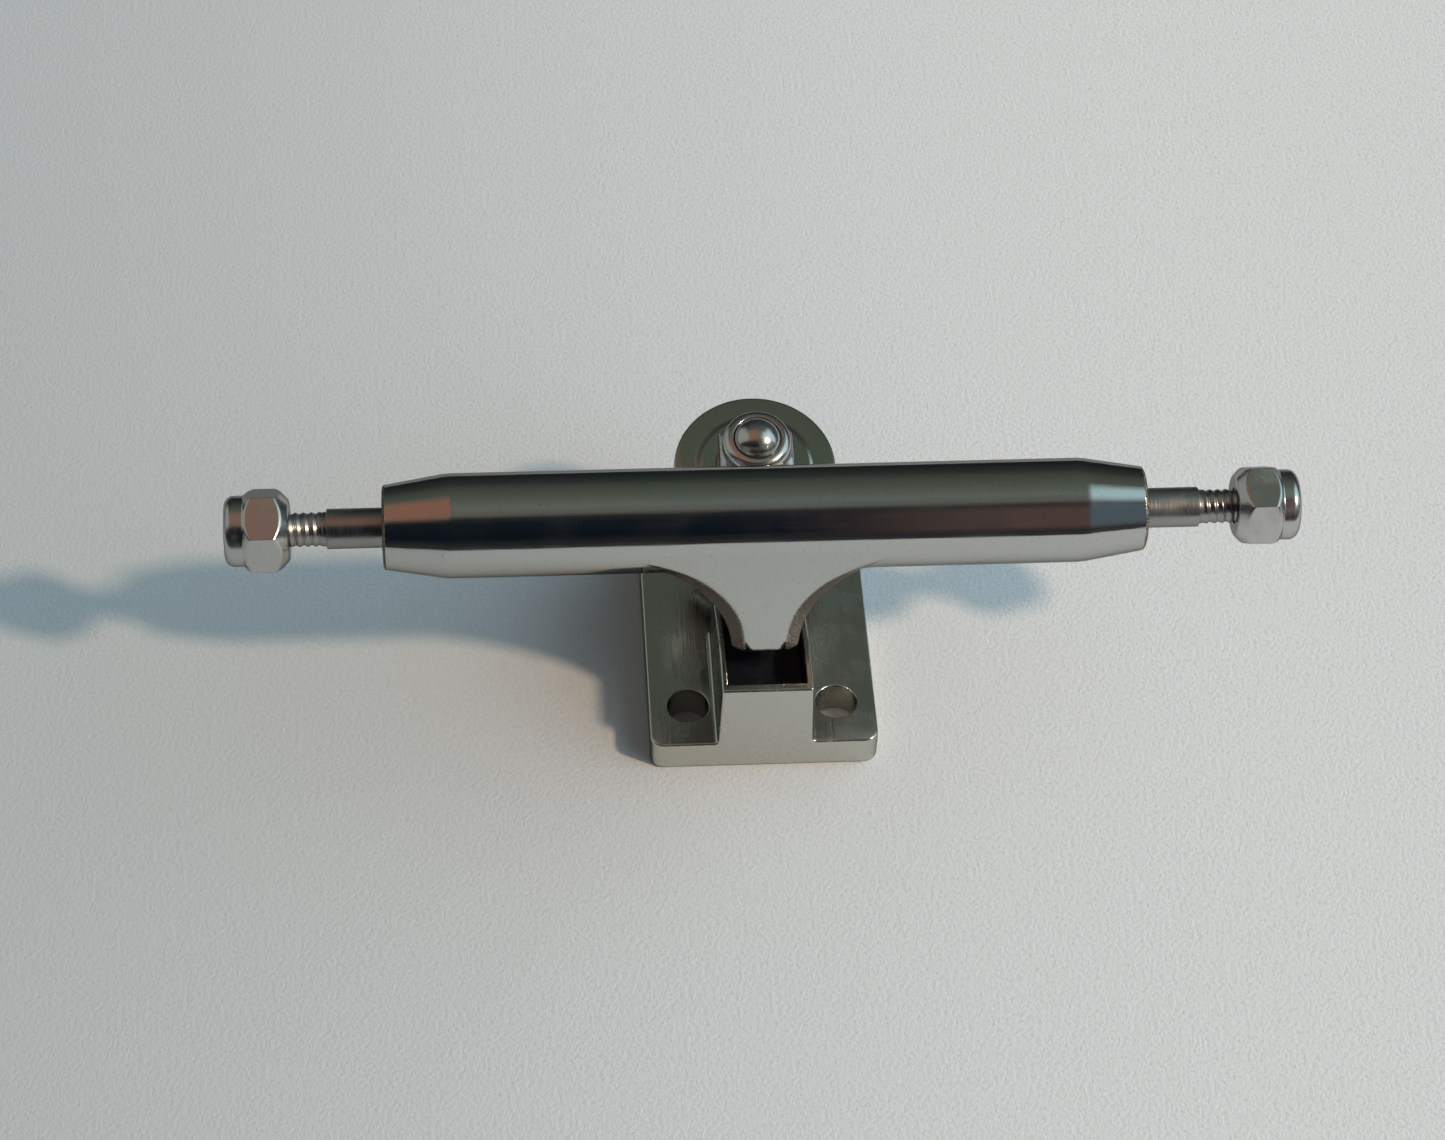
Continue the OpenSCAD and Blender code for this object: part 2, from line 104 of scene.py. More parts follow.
def skin(name, solid, low, high, cell, where=Matrix()):
    """A closed mesh with true normals on a solid, given as a function for the distance to it in mm.

    Each grid cell that the surface crosses gets one point, and each crossed grid edge one face.
    The points are then moved onto the surface, where its slope gives their normals.
    """
    probe, steps_to_surface, least_slope = cell / 20, 5, 0.2
    grid = [np.arange(a - 2 * cell, b + 3 * cell, cell) for a, b in zip(low, high)]
    depth = solid(*np.meshgrid(*grid, indexing="ij"))
    corners, points = [], []
    for axis in range(3):
        ahead, left, right = np.roll(np.eye(3, dtype=int), -axis, axis=0)
        near = depth[tuple(slice(None, size - k) for size, k in zip(depth.shape, ahead))]
        far = depth[tuple(slice(k, None) for k in ahead)]
        edge = np.argwhere((near < 0) != (far < 0))
        start, end = depth[tuple(edge.T)], depth[tuple((edge + ahead).T)]
        ring = np.stack([edge, edge - left, edge - left - right, edge - right], 1)
        ring[start >= 0] = ring[start >= 0][:, ::-1]
        corners.append(ring.reshape(-1, 3))
        points.append(np.repeat(edge + ahead * (start / (start - end))[:, None], 4, axis=0))
    keys = np.ravel_multi_index(np.concatenate(corners).T, depth.shape)
    index = np.unique(keys, return_inverse=True)[1].reshape(-1)
    points = np.concatenate(points)
    points = np.stack([np.bincount(index, points[:, k]) for k in range(3)], 1) / np.bincount(index)[:, None]
    points = points * cell + [line[0] for line in grid]
    for _ in range(steps_to_surface):
        slope = slope_of(solid, points, probe)
        steepness = np.maximum((slope ** 2).sum(1), least_slope)
        points = points - (solid(*points.T) / steepness)[:, None] * slope
    turn = np.array(where.to_3x3()).T
    normals = slope_of(solid, points, probe) @ turn
    points = points * mm @ turn + np.array(where.translation)
    mesh = bpy.data.meshes.new(name)
    mesh.from_pydata(points.tolist(), [], index.reshape(-1, 4).tolist())
    mesh.shade_smooth()
    mesh.normals_split_custom_set_from_vertices(normals / np.linalg.norm(normals, axis=1)[:, None])
    piece = bpy.data.objects.new(name, mesh)
    bpy.context.collection.objects.link(piece)
    return piece


plate_low, plate_high = [corner / mm for corner in map(Vector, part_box("baseplate"))]
plate_half_width, plate_half_length = plate_high.x, plate_high.y
plate_front, housing_height = plate_low.y, plate_high.z
plate_thickness, corner_radius = 1.15, 0.45
hole_x, hole_y, hole_radius = 4.84 / 2, 7.5 / 2, 1.34 / 2
housing_half_width, housing_lean = 3.12 / 2, 0.1 / housing_height
housing_level, housing_back, housing_back_height = plate_front + 2.05, -0.63, 2.9
pocket_half_width, pocket_front, pocket_back, pocket_floor = 1.26, plate_front + 0.3, -0.93, 1.3
rib_half_width, rib_height = 1.15, 1.7
boss_radius, boss_seat = 1.6, -1.87
pin_radius, pin_gap = 0.75, 0.01
head_radius, head_thickness = 1.25, 0.75
head_above_deck = 0.1
head_bottom = (head_above_deck - head_radius * pin_axis.y - ring_centre.z) / pin_axis.z
casting_edge, casting_fillet = 0.09, 0.12


def baseplate_solid(x, y, z):
    """Distance to the baseplate: plate, pivot housing with its pocket, rib, kingpin boss and holes."""
    side, end = np.abs(x), np.abs(y)
    roof = meet(
        z - housing_height,
        below(y, z, (housing_level, housing_height), (housing_back, housing_back_height)),
        casting_edge,
    )
    housing = meet(side - housing_half_width + housing_lean * z, y - housing_back, casting_edge)
    housing = meet(housing, roof, casting_edge)
    rib = meet(side - rib_half_width, z - rib_height, casting_edge)
    rib = meet(rib, between(y, housing_back - casting_fillet, ring_centre.y), casting_edge)
    radius, height = round_pin(x, y, z)
    boss = meet(radius - boss_radius, height - boss_seat, casting_edge)
    body = join(z - plate_thickness, housing, casting_fillet)
    body = join(join(body, rib, casting_fillet), boss, casting_fillet)
    beyond_x = side - plate_half_width + corner_radius
    beyond_y = end - plate_half_length + corner_radius
    outline = np.hypot(np.maximum(beyond_x, 0), np.maximum(beyond_y, 0)) - corner_radius
    outline = outline + np.minimum(np.maximum(beyond_x, beyond_y), 0)
    body = meet(meet(body, outline, casting_edge), -z, casting_edge)
    pocket = np.maximum(side - pocket_half_width, between(y, pocket_front, pocket_back))
    body = meet(body, -np.maximum(pocket, pocket_floor - z), casting_edge / 2)
    body = meet(body, hole_radius - np.hypot(side - hole_x, end - hole_y), casting_edge / 2)
    body = np.maximum(body, pin_radius + pin_gap - radius)
    recess = np.maximum(radius - head_radius - pin_gap, height - head_bottom - head_thickness)
    return np.maximum(body, -recess)


def add_node(tree, kind, **settings):
    """A new node with its settings, where a setting named in_NAME is an input's value."""
    node = tree.nodes.new("ShaderNode" + kind)
    for name, value in settings.items():
        if name.startswith("in_"):
            node.inputs[name[3:].replace("_", " ")].default_value = value
        else:
            setattr(node, name, value)
    return node


def new_group(name, inputs, outputs):
    """An empty shader node group with named sockets, and its two ends."""
    tree = bpy.data.node_groups.new(name, "ShaderNodeTree")
    for socket, kind in inputs.items():
        tree.interface.new_socket(socket, in_out="INPUT", socket_type=kind)
    for socket in outputs:
        tree.interface.new_socket(socket, in_out="OUTPUT", socket_type="NodeSocketFloat")
    return tree, tree.nodes.new("NodeGroupInput"), tree.nodes.new("NodeGroupOutput")


# Streaks left by a polishing wheel or a tool: noise drawn out along one direction
polish_streaks, entry, exit_ = new_group("polish_streaks", {"Stretch": "NodeSocketVector"}, ["Streak"])
place = add_node(polish_streaks, "TexCoord")
stretched = add_node(polish_streaks, "VectorMath", operation="MULTIPLY")
grain = add_node(polish_streaks, "TexNoise", in_Scale=1.0, in_Detail=2.0, in_Roughness=0.5)
contrast = add_node(polish_streaks, "MapRange")
contrast.inputs["From Min"].default_value = 0.3
contrast.inputs["From Max"].default_value = 0.7
polish_streaks.links.new(place.outputs["Object"], stretched.inputs[0])
polish_streaks.links.new(entry.outputs["Stretch"], stretched.inputs[1])
polish_streaks.links.new(stretched.outputs["Vector"], grain.inputs["Vector"])
polish_streaks.links.new(grain.outputs["Fac"], contrast.inputs["Value"])
polish_streaks.links.new(contrast.outputs["Result"], exit_.inputs["Streak"])

# Marks of handling: soft smudges, and fine specks where the plating has pits
handling_marks, entry, exit_ = new_group(
    "handling_marks",
    {"Smudge Scale": "NodeSocketFloat", "Speck Scale": "NodeSocketFloat"},
    ["Smudge", "Speck"],
)
place = add_node(handling_marks, "TexCoord")
smudge = add_node(handling_marks, "TexNoise", in_Detail=3.0, in_Distortion=0.6)
smudge_range = add_node(handling_marks, "MapRange", interpolation_type="SMOOTHSTEP")
smudge_range.inputs["From Min"].default_value = 0.42
smudge_range.inputs["From Max"].default_value = 0.68
speck = add_node(handling_marks, "TexVoronoi")
speck_range = add_node(handling_marks, "MapRange")
speck_range.inputs["From Min"].default_value = 0.16
speck_range.inputs["From Max"].default_value = 0.08
handling_marks.links.new(place.outputs["Object"], smudge.inputs["Vector"])
handling_marks.links.new(entry.outputs["Smudge Scale"], smudge.inputs["Scale"])
handling_marks.links.new(smudge.outputs["Fac"], smudge_range.inputs["Value"])
handling_marks.links.new(smudge_range.outputs["Result"], exit_.inputs["Smudge"])
handling_marks.links.new(place.outputs["Object"], speck.inputs["Vector"])
handling_marks.links.new(entry.outputs["Speck Scale"], speck.inputs["Scale"])
handling_marks.links.new(speck.outputs["Distance"], speck_range.inputs["Value"])
handling_marks.links.new(speck_range.outputs["Result"], exit_.inputs["Speck"])

# Where edges are rubbed pale, and where hollows and corners are marked to be painted darker as painted
# shade
edge_wear_and_crevice_shade, entry, exit_ = new_group("edge_wear_and_crevice_shade", {}, ["Edge", "Crevice Shade"])
shape = add_node(edge_wear_and_crevice_shade, "NewGeometry")
edge_range = add_node(edge_wear_and_crevice_shade, "MapRange")
edge_range.inputs["From Min"].default_value = 0.52
edge_range.inputs["From Max"].default_value = 0.62
# painted shade: low pointiness marks hollows and corners, which the plated metals paint darker
crevice_shade_range = add_node(edge_wear_and_crevice_shade, "MapRange")
crevice_shade_range.inputs["From Min"].default_value = 0.48
crevice_shade_range.inputs["From Max"].default_value = 0.38
edge_wear_and_crevice_shade.links.new(shape.outputs["Pointiness"], edge_range.inputs["Value"])
edge_wear_and_crevice_shade.links.new(shape.outputs["Pointiness"], crevice_shade_range.inputs["Value"])
edge_wear_and_crevice_shade.links.new(edge_range.outputs["Result"], exit_.inputs["Edge"])
edge_wear_and_crevice_shade.links.new(crevice_shade_range.outputs["Result"], exit_.inputs["Crevice Shade"])

# Sides of a casting that no polishing wheel reaches, all that lies behind a place, and their grain
cast_sides, entry, exit_ = new_group(
    "cast_sides",
    {"Grain Scale": "NodeSocketFloat", "Cast Behind": "NodeSocketFloat"},
    ["Side", "Grain"],
)
shape = add_node(cast_sides, "NewGeometry")
split = add_node(cast_sides, "SeparateXYZ")
across = add_node(cast_sides, "Math", operation="ABSOLUTE")
side_range = add_node(cast_sides, "MapRange", interpolation_type="SMOOTHSTEP")
side_range.inputs["From Min"].default_value = 0.2
side_range.inputs["From Max"].default_value = 0.4
place = add_node(cast_sides, "TexCoord")
depth_of = add_node(cast_sides, "SeparateXYZ")
past = add_node(cast_sides, "Math", operation="SUBTRACT")
behind = add_node(cast_sides, "Math", operation="MULTIPLY", use_clamp=True)
behind.inputs[1].default_value = 1 / (0.4 * mm)
unpolished = add_node(cast_sides, "Math", operation="MAXIMUM")
pebbles = add_node(cast_sides, "TexNoise", in_Detail=2.0)
centred = add_node(cast_sides, "Math", operation="SUBTRACT")
centred.inputs[1].default_value = 0.5
grain_on_sides = add_node(cast_sides, "Math", operation="MULTIPLY")
cast_sides.links.new(shape.outputs["Normal"], split.inputs["Vector"])
cast_sides.links.new(split.outputs["X"], across.inputs[0])
cast_sides.links.new(across.outputs["Value"], side_range.inputs["Value"])
cast_sides.links.new(place.outputs["Object"], depth_of.inputs["Vector"])
cast_sides.links.new(depth_of.outputs["Y"], past.inputs[0])
cast_sides.links.new(entry.outputs["Cast Behind"], past.inputs[1])
cast_sides.links.new(past.outputs["Value"], behind.inputs[0])
cast_sides.links.new(behind.outputs["Value"], unpolished.inputs[0])
cast_sides.links.new(side_range.outputs["Result"], unpolished.inputs[1])
cast_sides.links.new(place.outputs["Object"], pebbles.inputs["Vector"])
cast_sides.links.new(entry.outputs["Grain Scale"], pebbles.inputs["Scale"])
cast_sides.links.new(pebbles.outputs["Fac"], centred.inputs[0])
cast_sides.links.new(centred.outputs["Value"], grain_on_sides.inputs[0])
cast_sides.links.new(unpolished.outputs["Value"], grain_on_sides.inputs[1])
cast_sides.links.new(unpolished.outputs["Value"], exit_.inputs["Side"])
cast_sides.links.new(grain_on_sides.outputs["Value"], exit_.inputs["Grain"])


def place_group(tree, group, **values):
    """A group placed in a material, with values for its inputs."""
    node = add_node(tree, "Group", node_tree=group)
    for name, value in values.items():
        node.inputs[name.replace("_", " ")].default_value = value
    return node


def blend_colour(tree, factor, first, second):
    """A mix of two colours, or of a socket's colour with a second one, by a mask."""
    node = add_node(tree, "Mix", data_type="RGBA")
    tree.links.new(factor, node.inputs["Factor"])
    if isinstance(first, bpy.types.NodeSocket):
        tree.links.new(first, node.inputs[6])
    else:
        node.inputs[6].default_value = (*first, 1)
    node.inputs[7].default_value = (*second, 1)
    return node.outputs[2]


mirror_edge_tint = (0.35, 0.35, 0.35, 1)
specks_per_smudge, speck_dimming, streak_share = 9, 0.8, 0.7
cast_dulling_and_painted_warmth, cast_grain, cast_behind, pebble_depth = (0.5, 0.44, 0.39), 16000, 0.3 * mm, 9e-5


def plated_metal(
    name, bright, crevice_shade, polish, smudged, stretch, streak_depth, smudge_scale, cast_rough=None
):
    """Bright plating with streaks, smudges and pits, and painted shade that darkens its corners.

    Where cast_rough is given, the sides that no wheel reaches stay as they were cast: rougher, pebbled, and
    darker with a warm tint that is partly the duller cast metal and partly a painted reflection of warm
    surroundings.
    """
    material = bpy.data.materials.new(name)
    material.use_nodes = True
    tree = material.node_tree
    shader = tree.nodes["Principled BSDF"]
    shader.inputs["Metallic"].default_value = 1.0
    shader.inputs["Specular Tint"].default_value = mirror_edge_tint
    streaks = place_group(tree, polish_streaks, Stretch=stretch)
    speck_scale = smudge_scale * specks_per_smudge
    marks = place_group(tree, handling_marks, Smudge_Scale=smudge_scale, Speck_Scale=speck_scale)
    wear_and_shade = place_group(tree, edge_wear_and_crevice_shade)
    # painted shade: hollows and corners take the darker crevice_shade colour in place of real shade
    colour = blend_colour(tree, wear_and_shade.outputs["Crevice Shade"], bright, crevice_shade)
    pitted = [painted_light_tone * speck_dimming for painted_light_tone in bright]
    colour = blend_colour(tree, marks.outputs["Speck"], colour, pitted)
    tree.links.new(colour, shader.inputs["Base Color"])
    rough = add_node(tree, "MapRange")
    rough.inputs["To Min"].default_value = polish
    rough.inputs["To Max"].default_value = smudged
    tree.links.new(marks.outputs["Smudge"], rough.inputs["Value"])
    rubbed = add_node(tree, "Math", operation="MULTIPLY_ADD")
    rubbed.inputs[1].default_value = (smudged - polish) * streak_share
    tree.links.new(streaks.outputs["Streak"], rubbed.inputs[0])
    tree.links.new(rough.outputs["Result"], rubbed.inputs[2])
    tree.links.new(rubbed.outputs["Value"], shader.inputs["Roughness"])
    relief = add_node(tree, "Bump", in_Strength=1.0, in_Distance=streak_depth)
    tree.links.new(streaks.outputs["Streak"], relief.inputs["Height"])
    tree.links.new(relief.outputs["Normal"], shader.inputs["Normal"])
    if cast_rough is not None:
        cast = place_group(tree, cast_sides, Grain_Scale=cast_grain, Cast_Behind=cast_behind)
        # partly real, partly painted: the cast sides are dulled as cast and tinted warm, a painted
        # reflection of warm surroundings and lamp glints
        as_cast_and_painted_warmth = [painted_light_tone * part for painted_light_tone, part in zip(bright, cast_dulling_and_painted_warmth)]
        colour = blend_colour(tree, cast.outputs["Side"], colour, as_cast_and_painted_warmth)
        tree.links.new(colour, shader.inputs["Base Color"])
        roughened = add_node(tree, "Mix", in_B=cast_rough)
        tree.links.new(cast.outputs["Side"], roughened.inputs["Factor"])
        tree.links.new(rubbed.outputs["Value"], roughened.inputs["A"])
        tree.links.new(roughened.outputs["Result"], shader.inputs["Roughness"])
        pebbled = add_node(tree, "Bump", in_Strength=1.0, in_Distance=pebble_depth)
        tree.links.new(cast.outputs["Grain"], pebbled.inputs["Height"])
        tree.links.new(relief.outputs["Normal"], pebbled.inputs["Normal"])
        tree.links.new(pebbled.outputs["Normal"], shader.inputs["Normal"])
    return material


baseplate = skin("baseplate_casting", baseplate_solid, plate_low, plate_high, 0.06)
baseplate.data.materials.append(
    plated_metal(
        "plated_base",
        bright=(0.58, 0.58, 0.53),
        crevice_shade=(0.22, 0.22, 0.20),
        polish=0.15,
        smudged=0.26,
        stretch=(9000, 260, 4000),
        streak_depth=2e-6,
        smudge_scale=700,
    )
)
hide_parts("baseplate")
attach(baseplate, "base")

# Pivot cup: a black urethane block pressed into the baseplate's pocket.
# Its round socket carries the hanger's ball and lets it rock.
cup_low, cup_high = [corner / mm for corner in map(Vector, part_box("pivot_cup"))]
ball_radius, ball_gap = 0.92, 0.05
cup_edge = 0.12


def cup_solid(x, y, z):
    """Distance to the pivot cup: a block with rounded edges and a round socket in its top."""
    block = meet(between(x, cup_low.x, cup_high.x), between(y, cup_low.y, cup_high.y), cup_edge)
    block = meet(block, between(z, cup_low.z, cup_high.z), cup_edge)
    socket = ball_radius + ball_gap - np.sqrt(x ** 2 + (y - pivot.y) ** 2 + (z - pivot.z) ** 2)
    return meet(block, socket, cup_edge / 2)


moulded_smudges, moulded_specks, moulded_grain = 900, 5000, (7000, 7000, 7000)
moulded_sheen, smudge_lightening = 0.4, 1.5


def moulding(name, colour, pale, sheen_rough, worn_rough, pebble):
    """Moulded plastic with a soft sheen, a pebbled skin and pale rubbed edges."""
    material = bpy.data.materials.new(name)
    material.use_nodes = True
    tree = material.node_tree
    shader = tree.nodes["Principled BSDF"]
    shader.inputs["Specular IOR Level"].default_value = moulded_sheen
    marks = place_group(tree, handling_marks, Smudge_Scale=moulded_smudges, Speck_Scale=moulded_specks)
    wear_and_shade = place_group(tree, edge_wear_and_crevice_shade)
    grain = place_group(tree, polish_streaks, Stretch=moulded_grain)
    smudged = [painted_light_tone * smudge_lightening for painted_light_tone in colour]
    colour = blend_colour(tree, marks.outputs["Smudge"], colour, smudged)
    colour = blend_colour(tree, wear_and_shade.outputs["Edge"], colour, pale)
    tree.links.new(colour, shader.inputs["Base Color"])
    rough = add_node(tree, "MapRange")
    rough.inputs["To Min"].default_value = sheen_rough
    rough.inputs["To Max"].default_value = worn_rough
    tree.links.new(marks.outputs["Smudge"], rough.inputs["Value"])
    tree.links.new(rough.outputs["Result"], shader.inputs["Roughness"])
    relief = add_node(tree, "Bump", in_Strength=1.0, in_Distance=pebble)
    tree.links.new(grain.outputs["Streak"], relief.inputs["Height"])
    tree.links.new(relief.outputs["Normal"], shader.inputs["Normal"])
    return material


cup = skin("pivot_cup_moulding", cup_solid, cup_low, cup_high, 0.06)
cup.data.materials.append(
    moulding(
        "cup_urethane",
        colour=(0.003, 0.0045, 0.007),
        pale=(0.02, 0.022, 0.025),
        sheen_rough=0.42,
        worn_rough=0.6,
        pebble=2e-6,
    )
)
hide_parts("pivot_cup")
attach(cup, "base")

# Kingpin: a steel bolt pressed up through the boss from below, polished and nickel plated.
# Its threaded end carries the lock nut and is rounded over to a bright dome.
nut_seat, nut_length, tip_height = 1.82, 1.75, 0.46
nut_end = nut_seat + nut_length
thread_pitch, thread_depth, thread_step = 0.25, 0.05, 0.02
thread_start, thread_run_out, pin_edge = nut_seat - 0.2, 0.35, 0.08
shank_end, pin_rings_start = thread_start - 0.1, thread_start - 0.05
on_pin = Matrix.Translation(ring_centre * mm) @ Matrix(
    [(1, 0, 0), steer_axis, pin_axis]
).transposed().to_4x4()


def softened(outline, radius, closed):
    """An outline with its corners rounded."""
    nearly_straight, most_of_side, curve = math.radians(165), 0.45, np.linspace(0, 1, 6)
    points = [Vector(point) for point in outline]
    count = len(points)
    soft = []
    for i, corner in enumerate(points):
        if not closed and i in (0, count - 1):
            soft.append(corner)
            continue
        before, after = points[i - 1] - corner, points[(i + 1) % count] - corner
        turn = before.angle(after, math.pi)
        if turn > nearly_straight:
            soft.append(corner)
            continue
        shorter = min(before.length, after.length)
        reach = min(radius / math.tan(turn / 2), shorter * most_of_side)
        first, last = corner + before.normalized() * reach, corner + after.normalized() * reach
        for share in curve:
            soft.append(first * (1 - share) ** 2 + corner * 2 * share * (1 - share) + last * share ** 2)
    return [tuple(point) for point in soft]


def turned(name, outline, where, closed=False, thread=None, steps=128):
    """A round piece turned from an outline of (radius, height) in mm, with a thread where one is given."""
    radius, height = np.array(outline).T
    angle = np.linspace(0, 2 * math.pi, steps, endpoint=False)
    radius = np.repeat(radius[:, None], steps, axis=1)
    if thread is not None:
        radius = thread(radius, height[:, None], angle[None])
    points = np.stack(
        [radius * np.cos(angle), radius * np.sin(angle), np.repeat(height[:, None], steps, axis=1)], 2
    )
    rings = len(outline)
    faces = []
    for i in range(rings if closed else rings - 1):
        a, b = i * steps, (i + 1) % rings * steps
        faces += [(a + k, a + (k + 1) % steps, b + (k + 1) % steps, b + k) for k in range(steps)]
    mesh = bpy.data.meshes.new(name)
    points = points.reshape(-1, 3) * mm @ np.array(where.to_3x3()).T + np.array(where.translation)
    mesh.from_pydata(points.tolist(), [], faces)
    mesh.shade_smooth()
    piece = bpy.data.objects.new(name, mesh)
    bpy.context.collection.objects.link(piece)
    weld = piece.modifiers.new("close_the_poles", "WELD")
    weld.merge_threshold = 1e-7
    piece.modifiers.new("true_flats", "WEIGHTED_NORMAL")
    return piece


def cut_thread(start, end):
    """A thread cut into a rod between two heights, running out softly at both ends."""
    steepness, crest, core_radius = 1.3, 0.12, 0.4

    def cut(radius, height, angle):
        wave = np.abs((height / thread_pitch - angle / (2 * math.pi)) % 1 - 0.5) * 2
        fade = np.clip(np.minimum(height - start, end - height) / thread_pitch, 0, 1)
        depth = np.clip(wave * steepness - crest, 0, 1) * thread_depth * fade
        return np.where(radius > core_radius, radius - depth, radius)

    return cut


tip_radius = (pin_radius ** 2 + tip_height ** 2) / (2 * tip_height)
tip_sweep = math.asin(pin_radius / tip_radius)
kingpin_outline = softened(
    [
        (0, head_bottom),
        (head_radius, head_bottom),
        (head_radius, head_bottom + head_thickness),
        (pin_radius, head_bottom + head_thickness),
        (pin_radius, shank_end),
    ],
    pin_edge,
    closed=False,
)
kingpin_outline += [(pin_radius, height) for height in np.arange(pin_rings_start, nut_end, thread_step)]
kingpin_outline += [
    (tip_radius * math.sin(sweep), nut_end + tip_height - tip_radius + tip_radius * math.cos(sweep))
    for sweep in np.linspace(tip_sweep, 0, 24)
]
pin_thread = cut_thread(thread_start, nut_end - thread_run_out)
kingpin = turned("kingpin_bolt", kingpin_outline, on_pin, thread=pin_thread)
polished_steel = plated_metal(
    "polished_steel",
    bright=(0.56, 0.55, 0.53),
    crevice_shade=(0.22, 0.21, 0.20),
    polish=0.15,
    smudged=0.24,
    stretch=(9000, 9000, 1500),
    streak_depth=5e-7,
    smudge_scale=900,
)
kingpin.data.materials.append(polished_steel)
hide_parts("kingpin")
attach(kingpin, "base")

# Cup washers: two pressed steel discs, plated, whose brims bend over the bushings.
# One lies on the boss and the other under the kingpin's nut.
lower_seat, upper_seat = -1.65, 1.6
lower_washer_radius, upper_washer_radius = 2.1, 2.65
washer_bore, brim_start, washer_thickness, washer_edge = 0.81, 1.85, 0.22, 0.09
step_half, step_height = 0.14, 0.07
washer_metal = plated_metal(
    "plated_washer",
    bright=(0.46, 0.47, 0.42),
    crevice_shade=(0.2, 0.2, 0.18),
    polish=0.04,
    smudged=0.09,
    stretch=(5000, 5000, 9000),
    streak_depth=8e-7,
    smudge_scale=800,
)
for name, seat, radius, way in (
    ("lower_cup_washer", lower_seat, lower_washer_radius, -1),
    ("upper_cup_washer", upper_seat, upper_washer_radius, 1),
):
    face = [(washer_bore, 0.0)]
    face += [
        (brim_start + step_half * share, -step_height * (1 + math.sin(share * math.pi / 2)) / 2)
        for share in np.linspace(-1, 1, 13)
    ]
    face.append((radius, -step_height))
    loop = [(place, seat + way * height) for place, height in face]
    loop += [(place, seat + way * (height + washer_thickness)) for place, height in face[::-1]]
    loop = softened(loop[::way], washer_edge, closed=True)
    washer = turned(name + "_pressing", loop, on_pin, closed=True)
    washer.data.materials.append(washer_metal)
    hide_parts(name)
    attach(washer, "base")

# Bushings: two short barrels of black urethane, clamped above and below the hanger's ring.
# On the truck they squeeze to a wedge as the hanger rocks and push it back to the middle; here each is a
# rigid barrel, baked in place and joined to neither body.
bushing_bore, bushing_radius, bushing_bulge, bulge_margin = 0.81, 1.7, 0.1, 0.15
ring_seat = 0.5
bushing_urethane = moulding(
    "bushing_urethane",
    colour=(0.02, 0.02, 0.022),
    pale=(0.07, 0.07, 0.07),
    sheen_rough=0.35,
    worn_rough=0.55,
    pebble=2e-6,
)
for name, bottom, top, lower_body, upper_body in (
    ("lower_bushing", lower_seat, -ring_seat, "base", "hanger"),
    ("upper_bushing", ring_seat, upper_seat, "hanger", "base"),
):
    loop = [(bushing_bore, bottom), (bushing_radius, bottom)]
    for share in np.linspace(0, 1, 25):
        swell = bushing_bulge * math.sin(share * math.pi)
        height = bottom + bulge_margin + (top - bottom - 2 * bulge_margin) * share
        loop.append((bushing_radius + swell, height))
    loop += [(bushing_radius, top), (bushing_bore, top)]
    inner = [(bushing_bore, height) for height in np.linspace(top, bottom, 12)[1:-1]]
    bushing = turned(name + "_barrel", loop + inner, on_pin, closed=True)
    bushing.data.materials.append(bushing_urethane)
    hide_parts(name)
    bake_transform(bushing)

# Hanger: a cast T, ground smooth and plated to a mirror.
# Its beam carries the axle, its web narrows to the ball in the pivot cup,
# and an arm behind the web ends in the ring between the bushings.
hanger_low, hanger_high = [corner / mm for corner in map(Vector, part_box("hanger"))]
axle_low, axle_high = [corner / mm for corner in map(Vector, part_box("axle"))]
axle_y, axle_z = (axle_low.y + axle_high.y) / 2, (axle_low.z + axle_high.z) / 2
beam_half, beam_radius = hanger_high.x, hanger_high.z - axle_z
beam_end_radius, beam_taper = 1.33, 2.0
axle_core_radius, press_gap = axle_high.z - axle_z, 0.01
web_front, web_back, web_foot, web_bottom = axle_y - beam_radius, -0.6, 0.8, pivot.z + 0.7
nose_z, nose_lean = pivot.z + 0.69, math.tan(math.radians(20))
swoop_top = axle_z
shoulder_foot, hollow_wide, hollow_tall, hollow_z = 1.08, 4.67, 2.9, pivot.z + 0.65
flank_depth, flank_widening, flank_slope, flank_turning = 0.35, 0.165, 0.5, 0.25
nose_round, nose_narrowing = 0.5, 0.14
stub_y, stub_radius, stub_lean = -2.4, 0.9, 0.45
stub_low, stub_top = pivot.z + 0.25, pivot.z + 0.95
neck_top = hollow_z + 1.6
arm_half, arm_front, arm_under, arm_top = 1.1, pivot.y + web_foot / 2, 3.55, 4.9
ring_radius, ring_half, ring_bore = 2.15, 0.65, 1.05
seat_radius = 1.76
arm_reach, arm_end_half, arm_lap = 1.65, 0.55, 0.2
cast_edge, web_edge, stub_fillet = 0.1, 0.1, 0.2
arm_fillet, bore_edge, seam_edge = 2 * cast_edge, cast_edge / 2, cast_edge / 4
fillet_start, fillet_growth, least_fillet, least_steep = 0.6, 2, 0.01, 0.01


def beside_ring(along, up):
    """A point in the YZ plane, along the steering axis and along the kingpin from the ring's centre."""
    point = ring_centre + steer_axis * along + pin_axis * up
    return point.y, point.z


